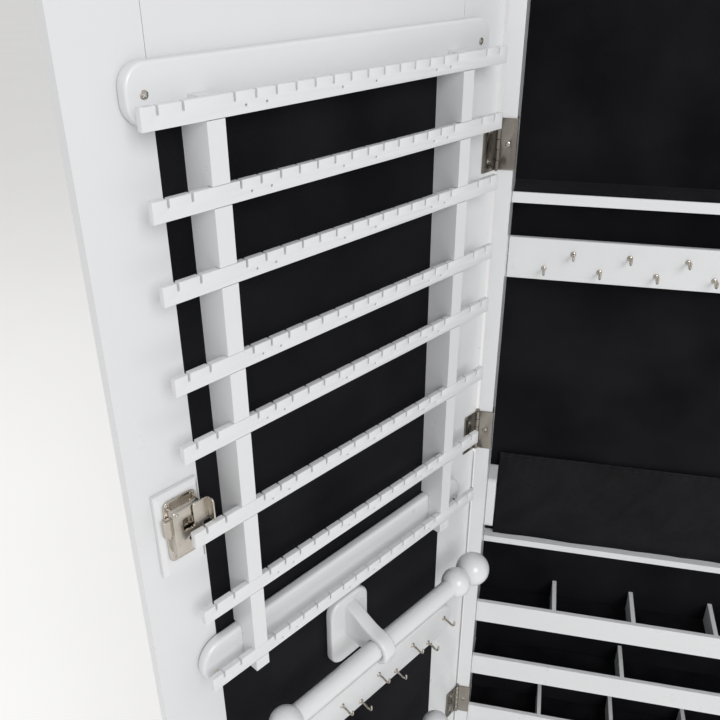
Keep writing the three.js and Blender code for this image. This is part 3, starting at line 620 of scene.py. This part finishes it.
def build_necklace_hook_board():
    hooks = CABINET_HOOKS
    half, low, high = INNER_HALF - SEAT, hooks["low"], hooks["high"]
    outline = [(-half, low), (half, low), (half, high), (-half, high)]
    board = facing(slab([outline], hooks["thick"], hooks["ease"], 3), hooks["front"], hooks["thick"])
    piece("necklace_hook_board_fine", board, CABINET, "cabinet", WHITE,
          ["necklace_hook_board"])
    hook_row("necklace_hook", 0, hooks["pitch"], hooks["front"], -1, CABINET_HOOK_ROWS, CABINET, "cabinet")


# Hinges ----------------------------------------------------------------------------------------------


def barrels(middle, parity):
    """Every other barrel of a hinge, about the pin."""
    step = HINGE["height"] / HINGE["barrels"]
    radius, ease = HINGE["radius"], HINGE["round"]
    shapes = []
    for i in range(parity, HINGE["barrels"], 2):
        low = middle - HINGE["height"] / 2 + i * step + HINGE["play"]
        high = low + step - 2 * HINGE["play"]
        shapes.append(turned([(0, low), (radius - ease, low), (radius, low + ease), (radius, high - ease),
                              (radius - ease, high), (0, high)], 28))
    return shapes


def leaf(x0, x1, middle, hole, spots):
    """A flat hinge leaf across from x0 to x1, with holes of one radius at the spots."""
    half = HINGE["height"] / 2
    outline = rounded(x0, x1, middle - half, middle + half, LEAF["corner"], 3)
    holes = [circle(x, z, hole) for x, z in spots]
    return slab([outline, *holes], LEAF["thick"], LEAF["ease"], 1)


def build_door_leaf(number, middle, rows):
    at, face = DOOR_LEAF["screw"], DOOR_LEAF["face"]
    plate = leaf(LEAF["start"], DOOR_LEAF["end"], middle, DOOR_LEAF["hole"], [(at, z) for z in rows])
    facing(plate, face - LEAF["thick"], LEAF["thick"])
    pin = turned([(radius, middle + up) for radius, up in HINGE_PIN], 20)
    piece(f"door_hinge_{number}", merged(plate, pin, *barrels(middle, 0)), PIN, "door",
          HINGE_NICKEL_PAINTED_SHADE, [f"door_hinge_leaf_{number}"])
    spots = [(at, face - HINGE["sink"], z, "y", 1, 30 + 40 * i) for i, z in enumerate(rows)]
    screws(f"door_hinge_screws_{number}", spots, PIN, "door", HINGE["screw"])


def build_cabinet_leaf(number, middle, rows):
    """The cabinet's leaf: a face behind the door's leaf, and a flange bent back along the wall."""
    at, face, corner = FACE_LEAF["screw"], FACE_LEAF["face"], FACE_LEAF["end"]
    plate = leaf(LEAF["start"], corner, middle, FACE_LEAF["hole"], [(at, middle)])
    facing(plate, face, LEAF["thick"])
    depth = FLANGE["screw"]
    flange = leaf(FLANGE["front"], FLANGE["back"], middle, FLANGE["hole"], [(depth, z) for z in rows])
    sideways(flange, corner - LEAF["thick"])
    piece(f"cabinet_hinge_{number}", merged(plate, flange, *barrels(middle, 1)), CABINET_PIN, "cabinet",
          HINGE_NICKEL_PAINTED_SHADE, [f"cabinet_hinge_leaf_{number}"])
    spots = [(at, face + HINGE["sink"], middle, "y", -1, 15)]
    spots += [(corner - HINGE["sink"], depth, z, "x", 1, 25) for z in rows]
    screws(f"cabinet_hinge_screws_{number}", spots, CABINET_PIN, "cabinet", HINGE["screw"])


def build_hinges():
    for index, below in enumerate(HINGE_BELOW):
        rows = (-below + LEAF["row"], -below - LEAF["row"])
        build_door_leaf(index + 1, -below, rows)
        build_cabinet_leaf(index + 1, -below, rows)


# Lock ------------------------------------------------------------------------------------------------


def lock_outline(part, radius, steps, inset=0):
    """A round-cornered outline about the lock's middle, drawn in from a part's edges by the inset."""
    half = part["half"] - inset
    return rounded(LOCK_X - half, LOCK_X + half, part["low"] + inset, part["high"] - inset, radius, steps)


def lock_case():
    """The case: side walls, and a front with the bolt's window and the keyhole."""
    seat = PLATE["back"] + PLATE["thick"]
    front = seat + CASE["deep"]
    shell = CASE["shell"]
    case = lock_outline(CASE, CASE["corner"], 4)
    window = rounded(LOCK_X + WINDOW["from"], LOCK_X + WINDOW["to"], WINDOW["low"], WINDOW["high"], 0.8, 3)
    keyhole = circle(LOCK_X + KEYHOLE["at"], KEYHOLE["z"], KEYHOLE["radius"], 16)
    cover = facing(slab([case, window, keyhole], shell, 0.8, 3), front - shell, shell)
    inside = lock_outline(CASE, 1, 4, CASE["wall"])
    deep = front - shell - PLATE["back"]
    walls = facing(slab([case, inside], deep, 0.1, 1), PLATE["back"] + 1, deep)
    outline = rounded(LOCK_X + LUG["from"], LOCK_X + LUG["to"], LUG["low"], LUG["high"], 0.9, 3)
    lug = facing(slab([outline], LUG["deep"], 0.3, 2), PLATE["back"] + 1, LUG["deep"])
    rivets = []
    for x in (-RIVET["at"], RIVET["at"]):
        outline = circle(LOCK_X + x, RIVET["z"], RIVET["radius"], 20)
        rivets.append(facing(slab([outline], RIVET["tall"], 0.35, 3), front - RIVET["sunk"], RIVET["tall"]))
    return [cover, walls, lug, *rivets]


def build_lock():
    plate = slab([lock_outline(PLATE, PLATE["corner"], 6)], PLATE["thick"], 0.3, 2)
    facing(plate, PLATE["back"], PLATE["thick"])
    piece("lock_case_fine", merged(plate, *lock_case()), DOOR, "door", NICKEL, ["lock_case"])
    face = PLATE["back"] + PLATE["thick"]
    spots = [(LOCK_X + x, face, z, "y", 1, 12 + 31 * i) for i, (x, z) in enumerate(PLATE_SCREWS)]
    screws("lock_screws", spots, DOOR, "door", 0.8)


def build_bolt():
    """The sliding bolt: its bar, the stem through the case's window, and a bent finger tab."""
    stem, half = LOCK_X + STEM["at"], STEM["half"]
    tip, thick = BOLT["tip"], BOLT["thick"]
    outline = rounded(tip - BOLT["length"], tip, BOLT["low"], BOLT["high"], 1.2, 4)
    bar = facing(slab([outline], thick, 0.3, 2), BOLT["back"], thick)
    outline = rounded(stem - half, stem + half, STEM["low"], STEM["high"], 0.6, 3)
    post = facing(slab([outline], STEM["deep"], 0.1, 1), BOLT["back"] + 3, STEM["deep"])
    edge, back, tall = stem - TAB["reach"], TAB["back"], (TAB["low"], TAB["high"])
    outline = rounded(edge, edge + TAB["width"], *tall, TAB["corner"], 6)
    pad = facing(slab([outline], TAB["thick"], 0.4, 3), back, TAB["thick"])
    root, rise = TAB["fin"]
    outline = rounded(back + root, back + rise, *tall, TAB["corner"], 6)
    fin = sideways(slab([outline], TAB["thick"], 0.4, 3), edge)
    piece("lock_bolt_fine", merged(bar, post, pad, fin), DOOR, "lock_bolt", NICKEL, ["lock_bolt"])


# Pouch and linings -----------------------------------------------------------------------------------


def fold(phase, sharpness):
    """A soft ridge once a turn, narrower than the valley between."""
    return (0.5 + 0.5 * math.sin(2 * math.pi * phase)) ** sharpness


def pouch_depth(s, t):
    """The slack front of the pouch, with slanting folds: depth at s across and t up, in millimetres."""
    broad = fold(3.1 * s - 1.15 * t + 0.35 * math.sin(6 * s), 2.2)
    slant = fold(5.3 * s - 1.6 * t + 0.3 * math.cos(7 * s + t), 3)
    pucker = fold(31 * s - 0.8 * t + 0.4 * math.sin(11 * s), 2)
    slack = math.sin(math.pi * min(1, 0.08 + t * 0.92)) ** 0.6
    return POUCH["depth"] - 0.8 * slack - (1.9 * broad + 1.2 * slant) * slack - 0.35 * pucker * t ** 5


def pouch_cloth_shape():
    """The pouch's front as a grid of faces with no thickness."""
    across, up = 360, 60
    half, low, high = POUCH["half"], POUCH["low"], POUCH["high"]
    shape = bmesh.new()
    grid = []
    for j in range(up + 1):
        t = j / up
        row = []
        for i in range(across + 1):
            s = i / across
            sway = 1.1 * math.sin(2 * math.pi * (15 * s - 1.8 * t))
            x = -half + 2 * half * s + sway * math.sin(math.pi * t) * math.sin(math.pi * s)
            row.append(shape.verts.new((x, pouch_depth(s, t), low + (high - low) * t)))
        grid.append(row)
    for j in range(up):
        for i in range(across):
            shape.faces.new((grid[j][i], grid[j][i + 1], grid[j + 1][i + 1], grid[j + 1][i]))
    return shape


def hem_shape():
    """The band along the pouch's top: an upright oval section that follows the cloth's upper edge."""
    across, around = 420, 10
    half, tall, thick = POUCH["half"], HEM["half_tall"], HEM["half_thick"]
    shape = bmesh.new()
    rings = []
    for i in range(across + 1):
        s = i / across
        x = -half + 2 * half * s
        middle = pouch_depth(s, 1) - HEM["ahead"]
        lift = HEM["ripple"] * math.sin(2 * math.pi * 29 * s + 2 * math.sin(7 * s))
        ring = []
        for k in range(around):
            angle = 2 * math.pi * k / around
            height = POUCH["high"] + HEM["above"] + lift + tall * math.sin(angle)
            ring.append(shape.verts.new((x, middle + thick * math.cos(angle), height)))
        rings.append(ring)
    for first, second in zip(rings, rings[1:]):
        for k in range(around):
            m = (k + 1) % around
            shape.faces.new((first[k], first[m], second[m], second[k]))
    shape.faces.new(rings[0])
    shape.faces.new(reversed(rings[-1]))
    bmesh.ops.recalc_face_normals(shape, faces=shape.faces)
    return shape


def build_pouch():
    shape = pouch_cloth_shape()
    area = sum(face.calc_area() for face in shape.faces) * 1e-6
    pouch = piece("pouch_front", shape, CABINET, "cabinet", CLOTH, ["necklace_pouch"], 180)
    thick = pouch.modifiers.new("cloth", "SOLIDIFY")
    thick.thickness = POUCH["cloth"] * 0.001
    thick.offset = 0
    band = piece("pouch_hem", hem_shape(), CABINET, "cabinet", CLOTH, (), 60)


def lining(name, x0, x1, front, z):
    """A thin felt lining just above z, from the front given to the back of the cabinet's inside."""
    shape = slab([rounded(x0, x1, front, LINING["back"], 0.6, 2)], LINING["thick"], LINING["ease"], 1)
    moved(shape, Matrix.Translation((0, 0, z + LINING["raised"])))
    piece(name, shape, CABINET, "cabinet", FELT)


def build_linings():
    half = INNER_HALF - LINING["gap"]
    lining("upper_shelf_lining", -half, half, LINING["shelf_front"], LINING["shelf"])
    lining("floor_lining", -half, half, LINING["floor_front"], LINING["floor"])
    for i in range(TRAY["count"]):
        floor = -TRAY["below"] - TRAY["pitch"] * i + TRAY["floor"]
        walls = TRAY["walls"][i % 2]
        middles = [(k - (walls - 1) / 2) * TRAY["bay"] for k in range(walls)]
        edges = [-half, *(x + side * TRAY["wall_half"] for x in middles for side in (-1, 1)), half]
        for k in range(walls + 1):
            lining(f"tray_{i + 1}_lining_{k + 1}", edges[2 * k], edges[2 * k + 1], TRAY["front"], floor)


def build_block_screws():
    x, y, z, offset = INNER_HALF - SEAT - PIVOT["block"], PIVOT["screw_y"], PIVOT["z"], PIVOT["screw_offset"]
    spots = [(side * x, y, z + up, "x", -side, 20) for side in (-1, 1) for up in (offset, -offset)]
    screws("pivot_block_screws", spots, CABINET, "cabinet")


# Studio ----------------------------------------------------------------------------------------------


def build_floor():
    finish = Finish("studio_floor", Roughness=0.8)
    finish.tint(finish.noise(1.5, 2), (0.89, 0.885, 0.875), (0.91, 0.905, 0.895))
    shape = bmesh.new()
    bmesh.ops.create_grid(shape, x_segments=4, y_segments=4, size=40)
    mesh = bpy.data.meshes.new("studio_floor")
    shape.to_mesh(mesh)
    shape.free()
    floor = bpy.data.objects.new("studio_floor", mesh)
    floor.data.materials.append(finish.material)
    bpy.context.scene.collection.objects.link(floor)


def build_lights():
    world = bpy.data.worlds.new("studio")
    world.use_nodes = True
    background = world.node_tree.nodes["Background"]
    background.inputs["Color"].default_value = (1.0, 1.0, 1.0, 1)
    background.inputs["Strength"].default_value = 0.72
    bpy.context.scene.world = world
    for name, place, aim, size, power in (
            ("key", (1.3, -2.4, 2.6), (0, 0, 1.0), 1.4, 48),
            ("floor_wash", (-2.2, 0.6, 2.6), (-1.6, 0.9, 0), 1.6, 20)):
        light = bpy.data.lights.new(name, "AREA")
        light.size = size
        light.energy = power
        lamp = bpy.data.objects.new(name, light)
        lamp.location = place
        lamp.rotation_euler = (Vector(aim) - Vector(place)).to_track_quat("-Z", "Y").to_euler()
        bpy.context.scene.collection.objects.link(lamp)


def build_camera():
    """A standing viewer's eye near the open door, looking down into the corner between door and cabinet."""
    roll = math.radians(-0.305)
    forward = Vector((-0.19384, 0.85931, -0.47330))
    right = Vector((0.97549, 0.22005, 0))
    up = Vector((-0.10415, 0.46169, 0.88090))
    side = math.cos(roll) * right + math.sin(roll) * up
    above = -math.sin(roll) * right + math.cos(roll) * up
    eye = CABINET @ Vector((-133.7, -611.4, -33.5))
    data = bpy.data.cameras.new("camera")
    data.lens = 40.7
    data.sensor_width = 36
    data.clip_start = 0.02
    camera = bpy.data.objects.new("camera", data)
    camera.matrix_world = Matrix((
        (side.x, above.x, -forward.x, eye.x),
        (side.y, above.y, -forward.y, eye.y),
        (side.z, above.z, -forward.z, eye.z),
        (0, 0, 0, 1)))
    bpy.context.scene.collection.objects.link(camera)
    bpy.context.scene.camera = camera


build_camera()
dress_cad_nodes()
build_slats()
build_rails()
build_rods()
build_door_hook_board()
build_necklace_hook_board()
build_hinges()
build_lock()
build_bolt()
build_pouch()
build_linings()
build_block_screws()
build_floor()
build_lights()
bpy.context.scene.view_settings.view_transform = "Standard"
